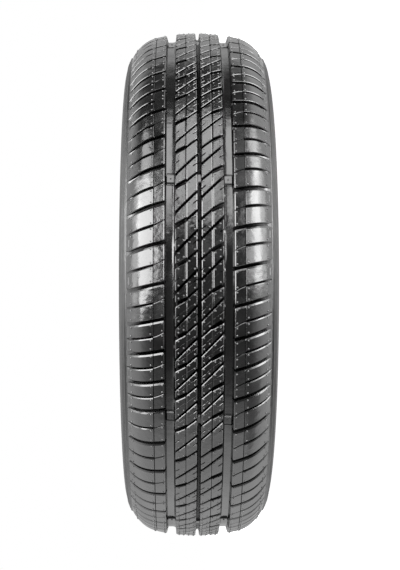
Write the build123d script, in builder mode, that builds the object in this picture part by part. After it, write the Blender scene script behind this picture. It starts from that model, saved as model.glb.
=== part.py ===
"""A passenger-car tyre, one moulded piece, lying on its sidewall with the axle line along +Z."""
import os
from itertools import accumulate
from math import asin, cos, degrees, radians, sin, tan

from build123d import *

# Outside of the section, one half, from the crown down to the rim
OUTER_RADIUS = 273.6
CROWN_RADIUS = 199.0
CROWN_HALF_WIDTH = 42.5
SHOULDER_RADIUS = 35.0
SHOULDER_SLOPE = 45.0
SIDEWALL_RADIUS = 54.0
LOWER_WALL_RADIUS = 48.0
LOWER_WALL_TURN = 50.0
TREAD_EDGE_STEP = 1.6

# Bead, which grips a 13-inch rim
SEAT_RADIUS = 164.7
BEAD_WIDTH = 15.5
HEEL_RADIUS = 170.0
HEEL_WIDTH = 5.0

# Air chamber
CROWN_THICKNESS = 17.8
BELT_HALF_WIDTH = 36.0
LINER_SHOULDER_RADIUS = 33.0
LINER_WALL_RADIUS = 34.0

# Flats that stand for each round stretch of the section
SHOULDER_FLATS = 2
SIDEWALL_FLATS = 3
LOWER_WALL_FLATS = 3
LINER_SHOULDER_FLATS = 2
LINER_WALL_FLATS = 2

# Grooves that run round the tread
CENTRE_GROOVE_WIDTH = 4.1
CENTRE_GROOVE_DEPTH = 7.0
CENTRE_GROOVE_DRAFT = 5.0
SIDE_GROOVE_PLACE = 27.35
SIDE_GROOVE_WIDTH = 10.1
SIDE_GROOVE_DEPTH = 7.7
SIDE_GROOVE_INNER_DRAFT = 3.0
SIDE_GROOVE_OUTER_DRAFT = 15.0

# Pitches of the tread pattern, short, middle and long, in their order round the tyre
PITCH_SHARE = {"S": 0.89, "M": 1.0, "L": 1.12}
PITCH_ORDER = "MLLLLSSSMLLLMMSSMMLLSSMMMLLSSMMSSSMMLLLSSMMLLSSSMMS"
PATTERN_START = 205.7
LOWER_HALF_PHASE = 0.345
FLATS_PHASE = 0.668

# Slots across the shoulder ribs, open to the side groove and to the tread edge
SHOULDER_SLOT_PLACE = 33.3
SHOULDER_SLOT_WIDTH = 2.9
SHOULDER_SLOT_SLANT = 13.0
SHOULDER_SLOT_DEPTH = 6.0
SHOULDER_SLOT_KNEE_DEPTH = 7.0
SHOULDER_SLOT_EDGE_DEPTH = 1.2

# Narrow slots in the shoulder ribs, running out before the tread edge
SHOULDER_NARROW_PHASE = 0.425
SHOULDER_NARROW_WIDTH = 1.3
SHOULDER_NARROW_START = 43.0
SHOULDER_NARROW_END = 65.5
SHOULDER_NARROW_DEPTH = 5.0

# Slots into the centre ribs, open to the side groove only
CENTRE_SLOT_PHASE = 0.395
CENTRE_SLOT_WIDTH = 2.8
CENTRE_SLOT_REACH = 11.0
CENTRE_SLOT_SLANT = 29.0
CENTRE_SLOT_DEPTH = 7.0

# Narrow slots right across the centre ribs
CENTRE_NARROW_PHASE = 0.72
CENTRE_NARROW_WIDTH = 1.2
CENTRE_NARROW_SLANT = 45.7
CENTRE_NARROW_DEPTH = 5.5

# How far a cutting shape runs past what it cuts
OVERRUN = 2.0


def round_stretch(start, slope, radius, turn, flats):
    """Points (radius, offset) along a bulging stretch, after its start; slope is from the axle line."""
    centre = (start[0] - radius * cos(radians(slope)), start[1] - radius * sin(radians(slope)))
    slopes = [radians(slope + turn * step / flats) for step in range(1, flats + 1)]
    return [(centre[0] + radius * cos(s), centre[1] + radius * sin(s)) for s in slopes]


def crown_point(offset):
    """Point (radius, offset) of the tread surface on the crown."""
    return OUTER_RADIUS - CROWN_RADIUS * (1 - cos(asin(offset / CROWN_RADIUS))), offset


def groove_points(place, width, depth, inner_draft, outer_draft):
    """Inner mouth, inner foot, outer foot and outer mouth of a groove."""
    inner = crown_point(place - width / 2)
    outer = crown_point(place + width / 2)
    floor = crown_point(place)[0] - depth
    inner_foot = inner[1] + (inner[0] - floor) * tan(radians(inner_draft))
    outer_foot = outer[1] - (outer[0] - floor) * tan(radians(outer_draft))
    return [inner, (floor, inner_foot), (floor, outer_foot), outer]


# Section of the outside, as points (radius, offset from the middle plane)
crown_slope = degrees(asin(CROWN_HALF_WIDTH / CROWN_RADIUS))
crown_end = crown_point(CROWN_HALF_WIDTH)
shoulder = round_stretch(
    crown_end, crown_slope, SHOULDER_RADIUS, SHOULDER_SLOPE - crown_slope, SHOULDER_FLATS
)
sidewall = round_stretch(
    shoulder[-1], SHOULDER_SLOPE, SIDEWALL_RADIUS, 90 - SHOULDER_SLOPE, SIDEWALL_FLATS
)
lower_wall = round_stretch(
    sidewall[-1], 90, LOWER_WALL_RADIUS, LOWER_WALL_TURN, LOWER_WALL_FLATS
)
tread_edge = sidewall[0]

# Tread, from the middle of the centre groove out to the tread edge
side_groove = groove_points(
    SIDE_GROOVE_PLACE,
    SIDE_GROOVE_WIDTH,
    SIDE_GROOVE_DEPTH,
    SIDE_GROOVE_INNER_DRAFT,
    SIDE_GROOVE_OUTER_DRAFT,
)
centre_groove = groove_points(
    0.0, CENTRE_GROOVE_WIDTH, CENTRE_GROOVE_DEPTH, CENTRE_GROOVE_DRAFT, CENTRE_GROOVE_DRAFT
)
tread_half = [*centre_groove[2:], *side_groove, crown_end, *shoulder, tread_edge]

# Sidewall from under the tread edge, then the bore with its heels
step_foot = (tread_edge[0] - TREAD_EDGE_STEP, tread_edge[1])
outside_half = [*tread_half, step_foot, *sidewall[1:], *lower_wall]
heel = lower_wall[-1][1]
bore_section = [
    (0.0, 0.0),
    (SEAT_RADIUS, 0.0),
    (SEAT_RADIUS, heel - HEEL_WIDTH),
    (HEEL_RADIUS, heel),
    (0.0, heel),
]

# Air chamber, from under the crown down to the toe
toe = heel - BEAD_WIDTH
belt_end = (OUTER_RADIUS - CROWN_THICKNESS, BELT_HALF_WIDTH)
liner_shoulder = round_stretch(belt_end, 0, LINER_SHOULDER_RADIUS, 90, LINER_SHOULDER_FLATS)
liner_centre = liner_shoulder[-1][1] - LINER_WALL_RADIUS
liner_wall_turn = 90 - degrees(asin((toe - liner_centre) / LINER_WALL_RADIUS))
liner_wall = round_stretch(
    liner_shoulder[-1], 90, LINER_WALL_RADIUS, liner_wall_turn, LINER_WALL_FLATS
)
chamber_half = [belt_end, *liner_shoulder, *liner_wall]

# Pitch lines, as angles round the axle line
shares = [PITCH_SHARE[letter] for letter in PITCH_ORDER]
pitch_lines = [
    PATTERN_START + 360 * total / sum(shares) for total in accumulate(shares, initial=0)
]


def every_pitch(phase):
    """Angles at that share of the way through every pitch."""
    return [a + phase * (b - a) for a, b in zip(pitch_lines, pitch_lines[1:])]


def turned(angles):
    """Places turned round the axle line by those angles."""
    return [Location((0, 0, 0), (0, 0, angle)) for angle in angles]


def flats_solid(half):
    """A solid of flats, one for each pitch on each stretch of both halves of a section, and two ends."""
    section = [(radius, -offset) for radius, offset in reversed(half)] + half
    turns = [radians(angle) for angle in every_pitch(FLATS_PHASE)]
    rings = [[(r * cos(t), r * sin(t), offset) for t in turns] for r, offset in section]
    outlines = [rings[0], rings[-1]]
    for low, high in zip(rings, rings[1:]):
        for k in range(len(turns)):
            outlines.append([low[k - 1], low[k], high[k], high[k - 1]])
    return Solid(Shell([Face(Wire.make_polygon(outline)) for outline in outlines]))


def centre_cut(slant, width, reach, depth):
    """Cutting shape of a slot that leans away from the side groove into the centre rib."""
    lean = tan(radians(slant))
    rib_edge = side_groove[0][1]
    with BuildPart() as cut:
        with BuildSketch(Plane.YZ.offset(OUTER_RADIUS - depth)):
            with BuildLine():
                Line((-lean * OVERRUN, rib_edge + OVERRUN), (lean * reach, rib_edge - reach))
            trace(line_width=width)
        extrude(amount=depth + OVERRUN)
    return cut.part


with BuildPart() as shoulder_slot:
    with BuildSketch(Plane.XZ):
        inner_floor = side_groove[3][0] - SHOULDER_SLOT_DEPTH
        knee = (shoulder[0][0] - SHOULDER_SLOT_KNEE_DEPTH, shoulder[0][1])
        outer_floor = tread_edge[0] - SHOULDER_SLOT_EDGE_DEPTH
        with BuildLine():
            Polyline(
                (inner_floor, SIDE_GROOVE_PLACE),
                knee,
                (outer_floor, tread_edge[1]),
                (outer_floor, tread_edge[1] + OVERRUN),
                (OUTER_RADIUS + OVERRUN, tread_edge[1] + OVERRUN),
                (OUTER_RADIUS + OVERRUN, SIDE_GROOVE_PLACE),
                close=True,
            )
        make_face()
    extrude(amount=SHOULDER_SLOT_WIDTH / 2, both=True)

with BuildPart() as shoulder_narrow:
    with BuildSketch(Plane.XZ):
        run_out = (SHOULDER_NARROW_END - shoulder[-1][1]) / (tread_edge[1] - shoulder[-1][1])
        run_out_radius = shoulder[-1][0] + run_out * (tread_edge[0] - shoulder[-1][0])
        with BuildLine():
            Polyline(
                (crown_end[0] - SHOULDER_NARROW_DEPTH, SHOULDER_NARROW_START),
                (run_out_radius, SHOULDER_NARROW_END),
                (OUTER_RADIUS + OVERRUN, SHOULDER_NARROW_END),
                (OUTER_RADIUS + OVERRUN, SHOULDER_NARROW_START),
                close=True,
            )
        make_face()
    extrude(amount=SHOULDER_NARROW_WIDTH / 2, both=True)

centre_slot = centre_cut(CENTRE_SLOT_SLANT, CENTRE_SLOT_WIDTH, CENTRE_SLOT_REACH, CENTRE_SLOT_DEPTH)
centre_narrow = centre_cut(
    CENTRE_NARROW_SLANT, CENTRE_NARROW_WIDTH, side_groove[0][1], CENTRE_NARROW_DEPTH
)

# Slots of the upper half with their phases
slots = [
    (shoulder_slot.part.rotate(Axis((0, 0, SHOULDER_SLOT_PLACE), (1, 0, 0)), SHOULDER_SLOT_SLANT), 0.0),
    (
        shoulder_narrow.part.rotate(Axis((0, 0, CROWN_HALF_WIDTH), (1, 0, 0)), SHOULDER_SLOT_SLANT),
        SHOULDER_NARROW_PHASE,
    ),
    (centre_slot, CENTRE_SLOT_PHASE),
    (centre_narrow, CENTRE_NARROW_PHASE),
]

with BuildPart() as tyre:
    # Tread and sidewalls
    add(flats_solid(outside_half))

    # Slots of both halves, the lower half being the upper one turned end for end
    for cut, phase in slots:
        with Locations(*turned(every_pitch(phase))):
            add(cut, mode=Mode.SUBTRACT)
        with Locations(*turned(every_pitch(LOWER_HALF_PHASE - phase))):
            add(cut.rotate(Axis.X, 180), mode=Mode.SUBTRACT)

    # Air chamber, then the bore with its heels
    add(flats_solid(chamber_half), mode=Mode.SUBTRACT)
    with BuildSketch(Plane.XZ):
        with BuildLine():
            Polyline(*bore_section, close=True)
        make_face()
        mirror(about=Plane.XZ)
    revolve(axis=Axis.Z, mode=Mode.SUBTRACT)

tyre.part.label = "tyre"

os.makedirs("parts", exist_ok=True)
export_step(tyre.part, "parts/tyre.step")
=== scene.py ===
"""Dresses the car tyre: a true-round tread with its whole pattern, sidewalls, beads, liner and rubber."""
from itertools import accumulate
from math import asin, cos, degrees, pi, radians, sin, tan

import bpy
import numpy as np
from mathutils import Matrix, Vector


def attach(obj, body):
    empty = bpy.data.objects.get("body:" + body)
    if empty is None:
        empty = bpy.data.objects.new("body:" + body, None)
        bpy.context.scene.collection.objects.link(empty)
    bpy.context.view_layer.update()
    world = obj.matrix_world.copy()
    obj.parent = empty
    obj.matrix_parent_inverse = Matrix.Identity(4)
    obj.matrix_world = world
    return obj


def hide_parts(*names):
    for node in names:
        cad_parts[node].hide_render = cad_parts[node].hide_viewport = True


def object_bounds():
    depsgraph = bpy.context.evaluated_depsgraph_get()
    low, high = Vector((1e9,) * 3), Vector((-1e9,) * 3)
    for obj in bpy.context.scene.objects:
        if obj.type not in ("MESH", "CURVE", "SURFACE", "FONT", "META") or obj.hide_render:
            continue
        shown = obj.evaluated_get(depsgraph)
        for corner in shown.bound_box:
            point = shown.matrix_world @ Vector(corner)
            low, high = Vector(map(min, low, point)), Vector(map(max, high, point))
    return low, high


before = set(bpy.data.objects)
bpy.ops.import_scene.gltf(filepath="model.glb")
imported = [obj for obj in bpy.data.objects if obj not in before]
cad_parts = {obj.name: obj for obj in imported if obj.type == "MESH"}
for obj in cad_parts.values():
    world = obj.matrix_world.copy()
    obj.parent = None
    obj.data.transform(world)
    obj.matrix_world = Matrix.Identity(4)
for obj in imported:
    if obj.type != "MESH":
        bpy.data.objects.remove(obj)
cad_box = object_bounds()

MM = 0.001

# Lengths of the tyre are in millimetres: radii from the axle line, offsets from the middle plane

# Section of the outside
OUTER_RADIUS = 272.6
CROWN_RADIUS = 199.0
CROWN_HALF_WIDTH = 42.5
SHOULDER_RADIUS = 35.0
SHOULDER_SLOPE = 45.0
SIDEWALL_RADIUS = 54.0
TREAD_EDGE = 68.36
STEP_FOOT = 246.75
WIDEST = (221.38, 75.57)
LOWER_WALL_RADIUS = 48.0
LOWER_WALL_TURN = 50.0
WALL_SEGMENTS = 150

# Ribs round the upper sidewall: their slopes in degrees, and their profile as (swing, height)
WALL_RIB_SLOPES = (63.0, 66.4, 69.8)
WALL_RIB_PROFILE = ((-0.75, 0.0), (-0.35, 0.45), (0.35, 0.45), (0.75, 0.0))
WALL_RIBS_END = 71.5

# Ring just above the bead: where it starts and ends in degrees, and its profile as (slope, height)
BEAD_RING_START = 128.0
BEAD_RING_PROFILE = ((129.5, 0.0), (130.2, 0.7), (131.8, 0.7), (132.5, 0.0))
BEAD_RING_END = 133.0

# Bead and air chamber
HEEL = (170.0, 58.44)
HEEL_STEPS = 4
SEAT_RADIUS = 164.7
SEAT_HALF = 53.44
TOE = 42.94
TOE_EASE = 1.0
BELT_RADIUS = 255.8
BELT_HALF_WIDTH = 36.0
LINER_SHOULDER_RADIUS = 33.0
LINER_WALL_RADIUS = 34.0

# Grooves round the tread: edges as offsets, feet as (radius, offset), floor rings as (lift, offset)
CENTRE_GROOVE_EDGE = 2.05
CENTRE_GROOVE_FOOT = (OUTER_RADIUS - 5.2, 1.6)
CENTRE_GROOVE_FLOOR = OUTER_RADIUS - 7.0
CENTRE_GROOVE_BEND = (0.5, 0.95)
SIDE_GROOVE_INNER_EDGE = 22.3
SIDE_GROOVE_OUTER_EDGE = 32.4
SIDE_GROOVE_FLOOR = OUTER_RADIUS - 9.55
SIDE_GROOVE_INNER_FOOT = (SIDE_GROOVE_FLOOR + 1.4, 22.67)
SIDE_GROOVE_OUTER_FOOT = (SIDE_GROOVE_FLOOR, 30.54)
SIDE_GROOVE_RINGS = ((0.5, 23.8), (0.0, 25.7), (0.0, 30.0))
SIDE_GROOVE_MIDDLE = 26.6

# Pitches of the tread pattern, short, middle and long, in their order round the tyre
PITCH_SHARE = {"S": 0.89, "M": 1.0, "L": 1.12}
PITCH_ORDER = "MLLLLSSSMLLLMMSSMMLLSSMMMLLSSMMSSSMMLLLSSMMLLSSSMMS"
PATTERN_START = 205.7
LOWER_HALF_PHASE = 0.345

# Edges of the tread blocks along the grooves, and the back edge and back foot of the slots
BEVEL_DEPTH = 0.6
BEVEL_WIDTH = 0.75
BACK_EDGE_WIDTH = 0.55
BACK_EDGE_LEAN = 41
BACK_FOOT_SHARE = 0.7
FOOT_DRAFT = 0.15

# Block corners, rounded at the tread edge and where a wide slot opens into the side groove
CORNER_RADIUS = 3.0
CORNER_SHARE = 0.75
MOUTH_ROUND = 0.6
MOUTH_REACH = 0.9

# Wide slots of the shoulders
WIDE_SLOT_PIVOT = 33.3
WIDE_SLOT_SLANT = 13
WIDE_SLOT_HALF_WIDTH = 1.6

# Fine lines round the tread: their offsets, and their sections as (distance from the line, depth)
CENTRE_LINE = 12.3
CENTRE_LINE_SECTION = ((-1.1, 0.0), (-0.3, 0.36), (0.0, 1.1), (0.3, 0.36), (1.1, 0.0))
SHOULDER_LINE = 42.5
SHOULDER_LINE_SECTION = ((-0.5, 0.0), (-0.3, 0.2), (0.0, 1.1), (0.3, 0.2), (0.5, 0.0))

# Short dash near the tread edge on every second shoulder block
DASH_PLACE = 65.1
DASH_DEPTH = 0.4
DASH_HALF_WIDTH = 0.9
DASH_HALF_FLOOR = 0.25
DASH_START = 0.25
DASH_END = 0.75

# Rings of the ribs between their lines and edges
INNER_CUT_END = (5.5, 6.1)
OUTER_CUT_END = (18.3, 18.9)
SHOULDER_INNER_RINGS = (35.5, 39.0)
SHOULDER_OUTER_RINGS = (46.4, 50.4, 54.4, 58.2, 61.6)
SHOULDER_LAST_RING = 66.9

# Rows between the edges of a shoulder block, as shares of the way across it
SHOULDER_ROWS = (0.5,)
DASH_ROWS = (0.24, 0.27, 0.73, 0.76)

# Wear bars across the grooves, as angles round the axle line in the upper and in the lower side groove
WEAR_BAR_ANGLES = (
    (25.0, 25.0),
    (70.0, 70.0),
    (115.0, 115.0),
    (160.0, 160.0),
    (204.5, 204.5),
    (242.35, 241.3),
    (291.7, 291.45),
    (340.0, 340.0),
)
WEAR_BAR_LENGTH = 7.0
WEAR_BAR_HEIGHT = 1.7
WEAR_BAR_BEVEL = (0.9, 1.2)
WEAR_BAR_DRAFT = 0.3
WEAR_BAR_CLEARANCE = 1.0
TRENCH_WIDTH = 1.6
TRENCH_DEPTH = 0.5

# Stubs left by the mould's vents: offsets along a block's first and last edge, inset and size
CENTRE_STUBS = ((4.2, 14.4, 19.2), (4.2, 9.2, 19.2))
SHOULDER_STUBS = ((34.3, 44.8, 63.2), (34.3, 44.8, 63.2))
STUB_INSET = 2.1
STUB_RADIUS = 0.95
STUB_HEIGHT = 0.6
STUB_SINK = 0.3
STUB_SIDES = 6
STUB_PROFILE = ((-STUB_SINK, 1.0), (0.5 * STUB_HEIGHT, 0.88), (STUB_HEIGHT, 0.4))

# Edges that bend more than this stay sharp, in degrees
SHARP_ANGLE = 24

# Rubber: its gloss, and the radii between which the tread's finish gives way to the duller walls
RUBBER_IOR = 1.8
WALL_LOOK_START = 249.0
WALL_LOOK_FULL = 245.0
WALL_DULLNESS = 0.4

# Floor, in metres
FLOOR_SIZE = 8.0
FLOOR_PAINT = (0.8, 0.8, 0.8, 1.0)
FLOOR_ROUGHNESS = 0.9
FLOOR_GLOW = 0.96
WHITE = (1.0, 1.0, 1.0, 1.0)

# Camera, in metres and in pixels of the picture
IMAGE = (400, 570)
CAMERA_DISTANCE = 1.5185
CAMERA_YAW = radians(0.57)
FOCAL_PIXELS = 1375.0
AXIS_PIXEL = (196.7, 284.5)
SENSOR = 36.0

# Lights: name, azimuth and elevation in degrees, width and height in metres, power in watts, roll in degrees
NEAR_TREAD = Vector((0.0, -0.27, 0.0))
LIGHT_DISTANCE = 1.5
LIGHTS = (
    ("softbox_left", 54, 18, 1.4, 1.3, 49, 20),
    ("softbox_left_high", 72, 47, 0.7, 0.5, 4.5, 0),
    ("softbox_left_edge", 88, 13, 0.45, 1.0, 4, 0),
    ("softbox_right", -69, 19, 0.69, 1.0, 20, 0),
    ("softbox_right_front", -45, 19, 0.55, 1.0, 6, 0),
    ("softbox_right_edge", -92, 19, 0.45, 1.0, 4, 0),
    ("softbox_right_high", -82, 45, 0.6, 0.5, 4.5, 0),
    ("softbox_top", 0, 56, 0.7, 1.5, 13, 0),
)

# Tread surface: where its arcs meet, and their centres, as (radius, offset)
crown_slope = asin(CROWN_HALF_WIDTH / CROWN_RADIUS)
crown_end = OUTER_RADIUS - CROWN_RADIUS * (1 - cos(crown_slope))
shoulder_centre = (
    crown_end - SHOULDER_RADIUS * cos(crown_slope),
    CROWN_HALF_WIDTH - SHOULDER_RADIUS * sin(crown_slope),
)
shoulder_slope = radians(SHOULDER_SLOPE)
shoulder_end = (
    shoulder_centre[0] + SHOULDER_RADIUS * cos(shoulder_slope),
    shoulder_centre[1] + SHOULDER_RADIUS * sin(shoulder_slope),
)
edge_centre = (
    shoulder_end[0] - SIDEWALL_RADIUS * cos(shoulder_slope),
    shoulder_end[1] - SIDEWALL_RADIUS * sin(shoulder_slope),
)


def surface(offset):
    """Radius and slope of the tread surface at an offset from the middle plane."""
    if offset <= CROWN_HALF_WIDTH:
        slope = asin(offset / CROWN_RADIUS)
        return OUTER_RADIUS - CROWN_RADIUS * (1 - cos(slope)), slope
    if offset <= shoulder_end[1]:
        slope = asin((offset - shoulder_centre[1]) / SHOULDER_RADIUS)
        return shoulder_centre[0] + SHOULDER_RADIUS * cos(slope), slope
    slope = asin((offset - edge_centre[1]) / SIDEWALL_RADIUS)
    return edge_centre[0] + SIDEWALL_RADIUS * cos(slope), slope


# Pitch lines, as angles round the axle line
shares = [PITCH_SHARE[letter] for letter in PITCH_ORDER]
pitch_lines = [
    radians(PATTERN_START + 360 * total / sum(shares)) for total in accumulate(shares, initial=0)
]


class Slot:
    """A slot across a rib: its phase in the pitch, and its shape as functions of the offset.

    The line is how far the slot's middle lies along the tread from its pitch line's place. The chamfer
    is the width of the cut on the leading edge, and the lean is that cut's angle in degrees.
    """

    def __init__(self, phase, line, half_width, depth, chamfer, lean):
        self.phase = phase
        self.line = line
        self.half_width = half_width
        self.depth = depth
        self.chamfer = chamfer
        self.lean = tan(radians(lean))

    def foot(self, offset, is_back):
        """Depth of the slot's foot, which is less under its back edge."""
        return self.depth(offset) * (BACK_FOOT_SHARE if is_back else 1.0)

    def edge(self, offset, is_back):
        """Width and depth of the chamfer on the slot's leading or back edge."""
        width = self.chamfer(offset)
        if is_back:
            width = min(BACK_EDGE_WIDTH, width)
            return width, width * tan(radians(BACK_EDGE_LEAN))
        return width, width * self.lean


def table(*pairs):
    """A function that runs straight between (offset, value) pairs."""
    places = [pair[0] for pair in pairs]
    values = [pair[1] for pair in pairs]
    return lambda offset: float(np.interp(offset, places, values))


def corner_round(offset):
    """How far a block's corner draws back near the tread edge."""
    into = max(0.0, offset - (TREAD_EDGE - CORNER_RADIUS)) / CORNER_RADIUS
    return CORNER_RADIUS * (1 - (1 - min(into, 1.0) ** 2) ** 0.5)


def mouth_round(offset):
    """How far a block's corner draws back where a slot opens into the side groove."""
    return max(0.0, MOUTH_ROUND * (1 - (offset - SIDE_GROOVE_OUTER_EDGE) / MOUTH_REACH))


def wide_slot_half(offset):
    """Half the width of a shoulder's wide slot."""
    return WIDE_SLOT_HALF_WIDTH + CORNER_SHARE * corner_round(offset) + mouth_round(offset)


# Shoulder slots: the wide one, and the narrow one with a thin leg inside the fine line
shoulder_slots = [
    Slot(
        phase=0.0,
        line=lambda offset: -(offset - WIDE_SLOT_PIVOT) * tan(radians(WIDE_SLOT_SLANT)),
        half_width=wide_slot_half,
        depth=table((SIDE_GROOVE_OUTER_EDGE, 6.0), (52.2, 7.0), (61.6, 4.4), (66.9, 1.4), (TREAD_EDGE, 0.3)),
        chamfer=table((SIDE_GROOVE_OUTER_EDGE, 1.4), (35.5, 1.6), (61.6, 1.6), (66.9, 0.7)),
        lean=25,
    ),
    Slot(
        phase=0.425,
        line=table(
            (SIDE_GROOVE_OUTER_EDGE, 5.0), (35.5, 3.1), (39.0, 1.3), (SHOULDER_LINE, 0.0), (TREAD_EDGE, -5.97)
        ),
        half_width=table((42.0, 0.25), (SHOULDER_LINE, 0.9), (64.2, 0.9), (66.9, 0.3), (TREAD_EDGE, 0.12)),
        depth=table((SIDE_GROOVE_OUTER_EDGE, 5.0), (56.0, 5.5), (65.3, 1.2), (67.9, 0.5)),
        chamfer=table((SIDE_GROOVE_OUTER_EDGE, 0.5), (42.0, 0.5), (42.8, 1.0), (65.35, 1.0), (67.6, 0.25)),
        lean=29,
    ),
]

# Centre slots: the wide one with a thin leg, a short cut, the one from groove to groove, a short cut
centre_slots = [
    Slot(
        phase=0.395,
        line=table((CENTRE_GROOVE_EDGE, 14.3), (11.2, 6.15), (SIDE_GROOVE_INNER_EDGE, 0.0)),
        half_width=table((11.2, 1.15), (12.0, 2.0), (21.55, 2.0), (SIDE_GROOVE_INNER_EDGE, 2.2)),
        depth=table((11.2, 5.0), (12.0, 7.0)),
        chamfer=table((2.8, 0.9), (5.5, 0.7), (18.9, 0.8), (SIDE_GROOVE_INNER_EDGE, 1.5)),
        lean=36,
    ),
    Slot(
        phase=0.575,
        line=table((CENTRE_GROOVE_EDGE, 17.4), (6.1, 13.8), (SIDE_GROOVE_INNER_EDGE, 0.0)),
        half_width=table((5.5, 0.4), (6.1, 0.03)),
        depth=table((5.5, 2.5), (6.1, 0.03)),
        chamfer=table((5.5, 0.45), (6.1, 0.03)),
        lean=36,
    ),
    Slot(
        phase=0.72,
        line=table((CENTRE_GROOVE_EDGE, 20.75), (SIDE_GROOVE_INNER_EDGE, 0.0)),
        half_width=table((CENTRE_GROOVE_EDGE, 1.35), (21.55, 1.35), (SIDE_GROOVE_INNER_EDGE, 1.6)),
        depth=table((CENTRE_GROOVE_EDGE, 5.0), (SIDE_GROOVE_INNER_EDGE, 5.5)),
        chamfer=table((2.8, 0.9), (5.5, 0.7), (18.9, 0.7), (SIDE_GROOVE_INNER_EDGE, 1.3)),
        lean=36,
    ),
    Slot(
        phase=1.03,
        line=table((CENTRE_GROOVE_EDGE, 15.7), (18.3, 3.3), (SIDE_GROOVE_INNER_EDGE, 0.0)),
        half_width=table((18.3, 0.03), (18.9, 0.4)),
        depth=table((18.3, 0.03), (18.9, 2.5)),
        chamfer=table((18.3, 0.03), (18.9, 0.45)),
        lean=36,
    ),
]


class Column:
    """One ring of a rib: its base point, its slope, and how deep its top rows lie."""

    def __init__(self, offset, top=0.0, fixed=None):
        self.offset = offset
        self.top = top
        self.fixed = fixed
        self.radius, self.slope = surface(offset)

    def point(self, depth):
        """Radius and offset at a depth under the surface."""
        if self.fixed:
            return self.fixed
        return self.radius - depth * cos(self.slope), self.offset - depth * sin(self.slope)


def line_columns(place, section):
    """Columns of a fine line round the tread."""
    return [Column(place + aside, depth) for aside, depth in section]


def plain_columns(offsets):
    """Columns on the tread surface."""
    return [Column(offset) for offset in offsets]


centre_columns = [
    Column(CENTRE_GROOVE_EDGE, fixed=CENTRE_GROOVE_FOOT),
    Column(CENTRE_GROOVE_EDGE, BEVEL_DEPTH),
    Column(CENTRE_GROOVE_EDGE + BEVEL_WIDTH),
    *plain_columns(INNER_CUT_END),
    *line_columns(CENTRE_LINE, CENTRE_LINE_SECTION),
    *plain_columns(OUTER_CUT_END),
    Column(SIDE_GROOVE_INNER_EDGE - BEVEL_WIDTH),
    Column(SIDE_GROOVE_INNER_EDGE, BEVEL_DEPTH),
    Column(SIDE_GROOVE_INNER_EDGE, fixed=SIDE_GROOVE_INNER_FOOT),
]
shoulder_columns = [
    Column(SIDE_GROOVE_OUTER_EDGE, fixed=SIDE_GROOVE_OUTER_FOOT),
    Column(SIDE_GROOVE_OUTER_EDGE, BEVEL_DEPTH),
    Column(SIDE_GROOVE_OUTER_EDGE + BEVEL_WIDTH),
    *plain_columns(SHOULDER_INNER_RINGS),
    *line_columns(SHOULDER_LINE, SHOULDER_LINE_SECTION),
    *plain_columns(SHOULDER_OUTER_RINGS),
    Column(DASH_PLACE - DASH_HALF_WIDTH),
    Column(DASH_PLACE - DASH_HALF_FLOOR),
    Column(DASH_PLACE + DASH_HALF_FLOOR),
    Column(DASH_PLACE + DASH_HALF_WIDTH),
    Column(SHOULDER_LAST_RING),
    Column(TREAD_EDGE - BEVEL_WIDTH),
    Column(TREAD_EDGE, BEVEL_DEPTH),
    Column(TREAD_EDGE, fixed=(STEP_FOOT, TREAD_EDGE)),
]
dash_columns = [
    k for k, column in enumerate(shoulder_columns) if abs(column.offset - DASH_PLACE) < DASH_HALF_WIDTH / 2
]

vertices = []
faces = []
stub_vertices = []
stub_faces = []


def add_vertex(radius, angle, offset):
    """Adds a vertex and returns its number."""
    vertices.append((radius * cos(angle), radius * sin(angle), offset))
    return len(vertices) - 1


def slot_places(slots, side):
    """A rib's slots as (angle, slot), in order once round the tyre and back to the first."""
    places = []
    for low, high in zip(pitch_lines, pitch_lines[1:]):
        for slot in slots:
            phase = slot.phase if side > 0 else LOWER_HALF_PHASE - slot.phase
            places.append((side * (low + phase * (high - low)), slot))
    places.sort(key=lambda place: place[0])
    first_angle, first_slot = places[0]
    return places + [(first_angle + 2 * pi, first_slot)]


def build_rib(columns, slots, side, plain_rows=(), dashed=()):
    """Adds one rib's blocks and slots, and returns the vertex numbers as rows of columns."""
    places = slot_places(slots, side)
    rows = []
    for (low_angle, low), (high_angle, high) in zip(places, places[1:]):
        has_dash = bool(dashed) and low is slots[0]
        shares_across = DASH_ROWS if has_dash else plain_rows
        block = [[] for _ in range(6 + len(shares_across))]
        for number, column in enumerate(columns):
            z = column.offset
            radius = column.radius
            start = low_angle + (low.line(z) + low.half_width(z)) / radius
            end = high_angle + (high.line(z) - high.half_width(z)) / radius
            low_draft = min(FOOT_DRAFT, low.half_width(z) / 2) / radius
            high_draft = min(FOOT_DRAFT, high.half_width(z) / 2) / radius
            low_width, low_drop = low.edge(z, side > 0)
            high_width, high_drop = high.edge(z, side < 0)
            angles = [start - low_draft, start, start + low_width / radius]
            angles += [start + share * (end - start) for share in shares_across]
            angles += [end - high_width / radius, end, end + high_draft]
            depths = [low.foot(z, side > 0), max(low_drop, column.top), column.top]
            for share in shares_across:
                in_dash = has_dash and number in dashed and DASH_START < share < DASH_END
                depths.append(DASH_DEPTH if in_dash else column.top)
            depths += [column.top, max(high_drop, column.top), high.foot(z, side < 0)]
            for row, angle, depth in zip(block, angles, depths):
                r, offset = column.point(max(depth, column.top))
                row.append(add_vertex(r, side * angle, side * offset))
        rows += block
    for row, following in zip(rows, rows[1:] + rows[:1]):
        for k in range(len(columns) - 1):
            faces.append((row[k], following[k], following[k + 1], row[k + 1]))
    return rows


def angle_of(number):
    """Angle of a vertex round the axle line."""
    return np.arctan2(vertices[number][1], vertices[number][0]) % (2 * pi)


def ring(rows, column):
    """One ring of a rib, as vertex numbers in order of rising angle."""
    numbers = [row[column] for row in rows]
    return sorted(numbers, key=angle_of)


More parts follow.
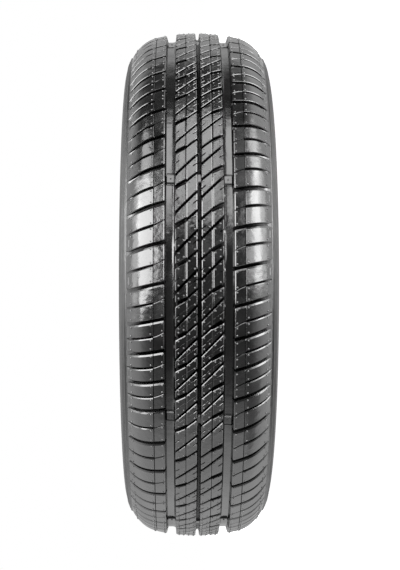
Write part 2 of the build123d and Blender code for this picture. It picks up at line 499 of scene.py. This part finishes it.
def join(first, second):
    """Fills the strip between two rings, the second one further along the section."""
    a_angles = [angle_of(n) for n in first] + [angle_of(first[0]) + 2 * pi]
    b_angles = [angle_of(n) for n in second] + [angle_of(second[0]) + 2 * pi]
    a = 0
    b = 0
    while a < len(first) or b < len(second):
        here = (first[a % len(first)], second[b % len(second)])
        step_a = b == len(second) or (a < len(first) and a_angles[a + 1] <= b_angles[b + 1])
        if step_a:
            a += 1
            faces.append((here[0], first[a % len(first)], here[1]))
        else:
            b += 1
            faces.append((here[0], second[b % len(second)], here[1]))


def polar(centre, reach, slope):
    """Point (radius, offset) at a distance from a centre; the slope is in degrees."""
    turn = radians(slope)
    return centre[0] + reach * cos(turn), centre[1] + reach * sin(turn)


def arc(centre, radius, start, end, count):
    """Points (radius, offset) along an arc after its start; slopes are in degrees."""
    return [polar(centre, radius, start + (end - start) * step / count) for step in range(1, count + 1)]


def half_section():
    """Points (radius, offset) from the foot of the tread edge round to near the middle of the belt."""
    points = [(STEP_FOOT, TREAD_EDGE)]
    wall_centre = (WIDEST[0], WIDEST[1] - SIDEWALL_RADIUS)
    for rib_slope in WALL_RIB_SLOPES:
        for swing, height in WALL_RIB_PROFILE:
            points.append(polar(wall_centre, SIDEWALL_RADIUS + height, rib_slope + swing))
    points += arc(wall_centre, SIDEWALL_RADIUS, WALL_RIBS_END, 90, 6)
    lower_centre = (WIDEST[0], WIDEST[1] - LOWER_WALL_RADIUS)
    points += arc(lower_centre, LOWER_WALL_RADIUS, 90, BEAD_RING_START, 8)
    for slope, height in BEAD_RING_PROFILE:
        points.append(polar(lower_centre, LOWER_WALL_RADIUS + height, slope))
    points += arc(lower_centre, LOWER_WALL_RADIUS, BEAD_RING_END, 90 + LOWER_WALL_TURN, 2)
    points.append(HEEL)
    for step in range(1, HEEL_STEPS + 1):
        turn = radians(90 * step / HEEL_STEPS)
        drop = (HEEL[0] - SEAT_RADIUS) * sin(turn)
        points.append((HEEL[0] - drop, SEAT_HALF + (HEEL[1] - SEAT_HALF) * cos(turn)))
    points += [(SEAT_RADIUS, TOE + TOE_EASE), (SEAT_RADIUS + TOE_EASE, TOE)]
    liner_middle = BELT_RADIUS - LINER_SHOULDER_RADIUS
    liner_width = BELT_HALF_WIDTH + LINER_SHOULDER_RADIUS
    liner_centre = (liner_middle, liner_width - LINER_WALL_RADIUS)
    liner_start = 180 - degrees(asin((TOE - liner_centre[1]) / LINER_WALL_RADIUS))
    points.append((polar(liner_centre, LINER_WALL_RADIUS, liner_start)[0], TOE))
    points += arc(liner_centre, LINER_WALL_RADIUS, liner_start, 90, 7)
    points += arc((liner_middle, BELT_HALF_WIDTH), LINER_SHOULDER_RADIUS, 90, 0, 8)
    points.append((BELT_RADIUS, BELT_HALF_WIDTH / 2))
    return points


def build_wall():
    """Adds sidewalls, beads and liner, and returns their first and last ring."""
    upper = half_section()
    section = upper + [(BELT_RADIUS, 0.0)] + [(r, -z) for r, z in reversed(upper)]
    turns = [2 * pi * step / WALL_SEGMENTS for step in range(WALL_SEGMENTS)]
    rings = [[add_vertex(r, turn, z) for turn in turns] for r, z in section]
    for low, high in zip(rings, rings[1:]):
        for k in range(WALL_SEGMENTS):
            following = (k + 1) % WALL_SEGMENTS
            faces.append((low[k], low[following], high[following], high[k]))
    return rings[0], rings[-1]


def bar_angle(pair, offset):
    """Angle of a wear bar at an offset, on the line through its places in the two side grooves."""
    share = (1 + offset / SIDE_GROOVE_MIDDLE) / 2
    return radians(pair[1] + share * (pair[0] - pair[1]))


def floor_ring(radius, offset, lift=0.0):
    """Adds a ring of a groove's floor, lifted a little above the given radius, with its wear bars."""
    half = WEAR_BAR_LENGTH / 2
    wall = half + WEAR_BAR_BEVEL[0]
    foot = wall + WEAR_BAR_DRAFT
    rise = (
        (foot + TRENCH_WIDTH, lift),
        (foot + TRENCH_WIDTH / 2, lift - TRENCH_DEPTH),
        (foot, lift - TRENCH_DEPTH),
        (wall, WEAR_BAR_HEIGHT - WEAR_BAR_BEVEL[1]),
        (half, WEAR_BAR_HEIGHT),
    )
    profile = [(-along, high) for along, high in rise] + [(along, high) for along, high in reversed(rise)]
    bars = [bar_angle(pair, offset) for pair in WEAR_BAR_ANGLES]
    clear = (rise[0][0] + WEAR_BAR_CLEARANCE) / radius
    places = [(bar + along / radius, radius + high) for bar in bars for along, high in profile]
    for step in range(WALL_SEGMENTS):
        turn = 2 * pi * step / WALL_SEGMENTS
        if min(abs(turn - bar) for bar in bars) > clear:
            places.append((turn, radius + lift))
    return [add_vertex(r, turn, offset) for turn, r in sorted(places)]


def build_stub(angle, offset, side, depth=0.0):
    """Adds one small round stub that stands on the tread, or on a floor at a depth under it."""
    radius, slope = surface(offset)
    turn = side * angle
    out = Vector((cos(slope) * cos(turn), cos(slope) * sin(turn), side * sin(slope)))
    round_way = Vector((-sin(turn), cos(turn), 0))
    across = out.cross(round_way)
    base = Vector(((radius - depth) * cos(turn), (radius - depth) * sin(turn), side * offset))
    rings = []
    for height, width in STUB_PROFILE:
        numbers = []
        for step in range(STUB_SIDES):
            way = 2 * pi * step / STUB_SIDES
            spread = (round_way * cos(way) + across * sin(way)) * STUB_RADIUS * width
            stub_vertices.append(base + spread + out * height)
            numbers.append(len(stub_vertices) - 1)
        rings.append(numbers)
    for low, high in zip(rings, rings[1:]):
        for k in range(STUB_SIDES):
            following = (k + 1) % STUB_SIDES
            stub_faces.append((low[k], low[following], high[following], high[k]))
    stub_faces.append(tuple(rings[-1]))
    stub_faces.append(tuple(reversed(rings[0])))


def build_stubs(slots, side, first_offsets, last_offsets):
    """Adds the stubs near the first and the last edge of every block of a rib."""
    places = slot_places(slots, side)
    for (low_angle, low), (high_angle, high) in zip(places, places[1:]):
        for z in first_offsets:
            inwards = low.line(z) + low.half_width(z) + STUB_INSET
            build_stub(low_angle + inwards / surface(z)[0], z, side)
        for z in last_offsets:
            inwards = high.line(z) - high.half_width(z) - STUB_INSET
            build_stub(high_angle + inwards / surface(z)[0], z, side)


# Tread, wall and groove floors, joined ring by ring; None marks a rib, which is whole already
upper_shoulder = build_rib(shoulder_columns, shoulder_slots, 1, SHOULDER_ROWS, dash_columns)
upper_centre = build_rib(centre_columns, centre_slots, 1)
lower_centre = build_rib(centre_columns, centre_slots, -1)
lower_shoulder = build_rib(shoulder_columns, shoulder_slots, -1, SHOULDER_ROWS, dash_columns)
wall_start, wall_end = build_wall()
bend_lift, bend_offset = CENTRE_GROOVE_BEND
outside = [
    wall_end,
    ring(lower_shoulder, -1),
    None,
    ring(lower_shoulder, 0),
    *[floor_ring(SIDE_GROOVE_FLOOR, -offset, lift) for lift, offset in reversed(SIDE_GROOVE_RINGS)],
    ring(lower_centre, -1),
    None,
    ring(lower_centre, 0),
    floor_ring(CENTRE_GROOVE_FLOOR, -bend_offset, bend_lift),
    floor_ring(CENTRE_GROOVE_FLOOR, 0.0),
    floor_ring(CENTRE_GROOVE_FLOOR, bend_offset, bend_lift),
    ring(upper_centre, 0),
    None,
    ring(upper_centre, -1),
    *[floor_ring(SIDE_GROOVE_FLOOR, offset, lift) for lift, offset in SIDE_GROOVE_RINGS],
    ring(upper_shoulder, 0),
    None,
    ring(upper_shoulder, -1),
    wall_start,
]
for low_ring, high_ring in zip(outside, outside[1:]):
    if low_ring and high_ring:
        join(low_ring, high_ring)

# Stubs on the blocks and on the wear bars
bar_depth = surface(SIDE_GROOVE_MIDDLE)[0] - SIDE_GROOVE_FLOOR - WEAR_BAR_HEIGHT
for half_side in (1, -1):
    build_stubs(centre_slots[::2], half_side, *CENTRE_STUBS)
    build_stubs(shoulder_slots, half_side, *SHOULDER_STUBS)
    for bar_pair in WEAR_BAR_ANGLES:
        bar_turn = bar_angle(bar_pair, half_side * SIDE_GROOVE_MIDDLE)
        build_stub(half_side * bar_turn, SIDE_GROOVE_MIDDLE, half_side, bar_depth)


def add_piece(name, points, polygons):
    """Makes a smooth mesh object from points in millimetres."""
    mesh = bpy.data.meshes.new(name)
    mesh.from_pydata([Vector(point) * MM for point in points], [], polygons)
    mesh.polygons.foreach_set("use_smooth", [True] * len(mesh.polygons))
    mesh.set_sharp_from_angle(angle=radians(SHARP_ANGLE))
    piece = bpy.data.objects.new(name, mesh)
    bpy.context.scene.collection.objects.link(piece)
    return piece


tyre = add_piece("tyre_skin", vertices, faces)
stubs = add_piece("vent_stubs", stub_vertices, stub_faces)
weighting = tyre.modifiers.new("weighted_normals", "WEIGHTED_NORMAL")
weighting.keep_sharp = True
weighting.weight = 100


def new_look(name):
    """A material, with its node tree and its shader."""
    look = bpy.data.materials.new(name)
    look.use_nodes = True
    return look, look.node_tree, look.node_tree.nodes["Principled BSDF"]


def noise(tree, scale, detail):
    """A noise value in object space."""
    place = tree.nodes.new("ShaderNodeTexCoord")
    node = tree.nodes.new("ShaderNodeTexNoise")
    node.inputs["Scale"].default_value = scale
    node.inputs["Detail"].default_value = detail
    tree.links.new(place.outputs["Object"], node.inputs["Vector"])
    return node.outputs["Fac"]


def ramp(tree, source, low, high):
    """A grey that runs from a low to a high level with a noise value."""
    node = tree.nodes.new("ShaderNodeValToRGB")
    for element, place, level in zip(node.color_ramp.elements, (0.35, 0.7), (low, high)):
        element.position = place
        element.color = (level, level, level, 1.0)
    tree.links.new(source, node.inputs["Fac"])
    return node.outputs["Color"]


def bump(tree, source, strength, distance, before=None):
    """A bump from a noise value, on top of another one."""
    node = tree.nodes.new("ShaderNodeBump")
    node.inputs["Strength"].default_value = strength
    node.inputs["Distance"].default_value = distance
    tree.links.new(source, node.inputs["Height"])
    if before:
        tree.links.new(before, node.inputs["Normal"])
    return node.outputs["Normal"]


def wall_share(tree):
    """A value that goes from nought on the tread to one on the sidewalls, beads and liner."""
    place = tree.nodes.new("ShaderNodeTexCoord")
    axes = tree.nodes.new("ShaderNodeSeparateXYZ")
    level = tree.nodes.new("ShaderNodeCombineXYZ")
    reach = tree.nodes.new("ShaderNodeVectorMath")
    reach.operation = "LENGTH"
    share = tree.nodes.new("ShaderNodeMapRange")
    share.inputs["From Min"].default_value = WALL_LOOK_START * MM
    share.inputs["From Max"].default_value = WALL_LOOK_FULL * MM
    tree.links.new(place.outputs["Object"], axes.inputs["Vector"])
    tree.links.new(axes.outputs["X"], level.inputs["X"])
    tree.links.new(axes.outputs["Y"], level.inputs["Y"])
    tree.links.new(level.outputs["Vector"], reach.inputs[0])
    tree.links.new(reach.outputs["Value"], share.inputs["Value"])
    return share.outputs["Result"]


def dulled(tree, roughness):
    """A roughness that is raised on the sidewalls, beads and liner."""
    node = tree.nodes.new("ShaderNodeMath")
    node.operation = "MULTIPLY_ADD"
    node.inputs[1].default_value = WALL_DULLNESS
    tree.links.new(wall_share(tree), node.inputs[0])
    tree.links.new(roughness, node.inputs[2])
    return node.outputs["Value"]


# Skin of the rubber, black and glossy with slight waves
rubber, tree, shader = new_look("tyre_rubber_look")
patches = noise(tree, scale=45.0, detail=5.0)
wavy = bump(tree, noise(tree, scale=70.0, detail=2.0), strength=1.0, distance=0.0005)
dented = bump(tree, noise(tree, scale=320.0, detail=2.0), strength=0.3, distance=0.0003, before=wavy)
grainy = bump(tree, noise(tree, scale=900.0, detail=3.0), strength=0.35, distance=0.0001, before=dented)
tree.links.new(ramp(tree, patches, low=0.001, high=0.0025), shader.inputs["Base Color"])
tree.links.new(dulled(tree, ramp(tree, patches, low=0.14, high=0.28)), shader.inputs["Roughness"])
tree.links.new(grainy, shader.inputs["Normal"])
shader.inputs["IOR"].default_value = RUBBER_IOR

# Stubs, duller than the skin, and painted paler: the pale colour is a painted highlight for the glints on
# their tops
stub_rubber_painted_glint, tree, shader = new_look("cut_rubber_look")
patches = noise(tree, scale=150.0, detail=3.0)
grainy = bump(tree, noise(tree, scale=900.0, detail=3.0), strength=0.5, distance=0.0001)
# Pale base colour: painted highlight standing in for the stubs' glints
tree.links.new(ramp(tree, patches, low=0.03, high=0.09), shader.inputs["Base Color"])
tree.links.new(ramp(tree, patches, low=0.25, high=0.45), shader.inputs["Roughness"])
tree.links.new(grainy, shader.inputs["Normal"])
shader.inputs["IOR"].default_value = RUBBER_IOR

for piece, look in ((tyre, rubber), (stubs, stub_rubber_painted_glint)):
    piece.data.materials.append(look)
    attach(piece, "root")
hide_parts("tyre")

# Floor under the lower sidewall
half_floor = FLOOR_SIZE / 2
floor_mesh = bpy.data.meshes.new("floor")
floor_mesh.from_pydata(
    [(x * half_floor, y * half_floor, cad_box[0].z) for x, y in ((-1, -1), (1, -1), (1, 1), (-1, 1))],
    [],
    [(0, 1, 2, 3)],
)
floor = bpy.data.objects.new("floor", floor_mesh)
bpy.context.scene.collection.objects.link(floor)
floor_paint, tree, shader = new_look("floor_paint")
shader.inputs["Base Color"].default_value = FLOOR_PAINT
shader.inputs["Roughness"].default_value = FLOOR_ROUGHNESS
shader.inputs["Emission Color"].default_value = WHITE
shader.inputs["Emission Strength"].default_value = FLOOR_GLOW
floor_mesh.materials.append(floor_paint)
floor.visible_glossy = False
floor.visible_diffuse = False
floor.visible_shadow = False

# Camera, level with the tyre's middle and rolled a quarter turn so that the tread runs up the picture
camera_data = bpy.data.cameras.new("camera")
camera_data.sensor_width = SENSOR
camera_data.lens = FOCAL_PIXELS * SENSOR / IMAGE[1]
camera_data.shift_x = (IMAGE[0] / 2 - AXIS_PIXEL[0]) / IMAGE[1]
camera_data.shift_y = (AXIS_PIXEL[1] - IMAGE[1] / 2) / IMAGE[1]
camera = bpy.data.objects.new("camera", camera_data)
right = Vector((0, -sin(CAMERA_YAW), -cos(CAMERA_YAW)))
up = Vector((1, 0, 0))
back = right.cross(up)
rolled = Matrix((right, up, back)).transposed().to_4x4()
camera.matrix_world = Matrix.Translation(back * CAMERA_DISTANCE) @ rolled
bpy.context.scene.collection.objects.link(camera)
bpy.context.scene.camera = camera


def softbox(name, azimuth, elevation, width, height, power, roll):
    """An area light that faces the near tread; azimuth is towards +Z, elevation towards +X."""
    swing = radians(azimuth)
    rise = radians(elevation)
    towards = Vector((sin(rise), -cos(rise) * cos(swing), cos(rise) * sin(swing)))
    across = Vector((1, 0, 0)).cross(towards).normalized()
    along = towards.cross(across)
    facing = Matrix((across, along, towards)).transposed().to_4x4()
    data = bpy.data.lights.new(name, "AREA")
    data.shape = "RECTANGLE"
    data.size = width
    data.size_y = height
    data.energy = power
    light = bpy.data.objects.new(name, data)
    place = Matrix.Translation(NEAR_TREAD + towards * LIGHT_DISTANCE)
    light.matrix_world = place @ facing @ Matrix.Rotation(radians(roll), 4, "Z")
    light.visible_camera = False
    bpy.context.scene.collection.objects.link(light)


for settings in LIGHTS:
    softbox(*settings)

# World: white to the camera; for reflections dark in front, pale behind, dark overhead and low on the right
world = bpy.data.worlds.new("studio")
world.use_nodes = True
bpy.context.scene.world = world
sky_nodes = world.node_tree.nodes
sky_links = world.node_tree.links
sky_nodes.clear()
path = sky_nodes.new("ShaderNodeLightPath")
direction = sky_nodes.new("ShaderNodeTexCoord")
parts = sky_nodes.new("ShaderNodeSeparateXYZ")
sky_links.new(direction.outputs["Generated"], parts.inputs["Vector"])
upwards = parts.outputs["X"]
away = parts.outputs["Y"]
leftwards = parts.outputs["Z"]


def fade(source, start, end, before, after):
    """A value that goes smoothly from one level to another along a direction."""
    node = sky_nodes.new("ShaderNodeMapRange")
    node.interpolation_type = "SMOOTHSTEP"
    node.inputs["From Min"].default_value = start
    node.inputs["From Max"].default_value = end
    node.inputs["To Min"].default_value = before
    node.inputs["To Max"].default_value = after
    sky_links.new(source, node.inputs["Value"])
    return node.outputs["Result"]


def combine(operation, first, *others):
    """The sum or product of values."""
    result = first
    for other in others:
        node = sky_nodes.new("ShaderNodeMath")
        node.operation = operation
        sky_links.new(result, node.inputs[0])
        sky_links.new(other, node.inputs[1])
        result = node.outputs["Value"]
    return result


front = fade(away, start=-0.85, end=-0.05, before=0.16, after=1.6)
behind = fade(away, start=0.4, end=0.9, before=1.0, after=0.45)
leaning = combine("ADD", upwards, fade(leftwards, start=0.0, end=1.0, before=0.0, after=0.35))
above = fade(leaning, start=0.75, end=0.95, before=1.0, after=0.08)
low_right = combine(
    "MULTIPLY",
    fade(leftwards, start=-0.6, end=-0.35, before=1.0, after=0.0),
    fade(upwards, start=-0.5, end=-0.25, before=1.0, after=0.0),
    fade(away, start=-0.1, end=0.2, before=1.0, after=0.0),
)
shade = fade(low_right, start=0.0, end=1.0, before=1.0, after=0.35)
dim = sky_nodes.new("ShaderNodeBackground")
bright = sky_nodes.new("ShaderNodeBackground")
bright.inputs["Color"].default_value = WHITE
choice = sky_nodes.new("ShaderNodeMixShader")
sky_output = sky_nodes.new("ShaderNodeOutputWorld")
sky_links.new(combine("MULTIPLY", front, behind, above, shade), dim.inputs["Color"])
sky_links.new(path.outputs["Is Camera Ray"], choice.inputs["Fac"])
sky_links.new(dim.outputs["Background"], choice.inputs[1])
sky_links.new(bright.outputs["Background"], choice.inputs[2])
sky_links.new(choice.outputs["Shader"], sky_output.inputs["Surface"])
bpy.context.scene.view_settings.view_transform = "Standard"
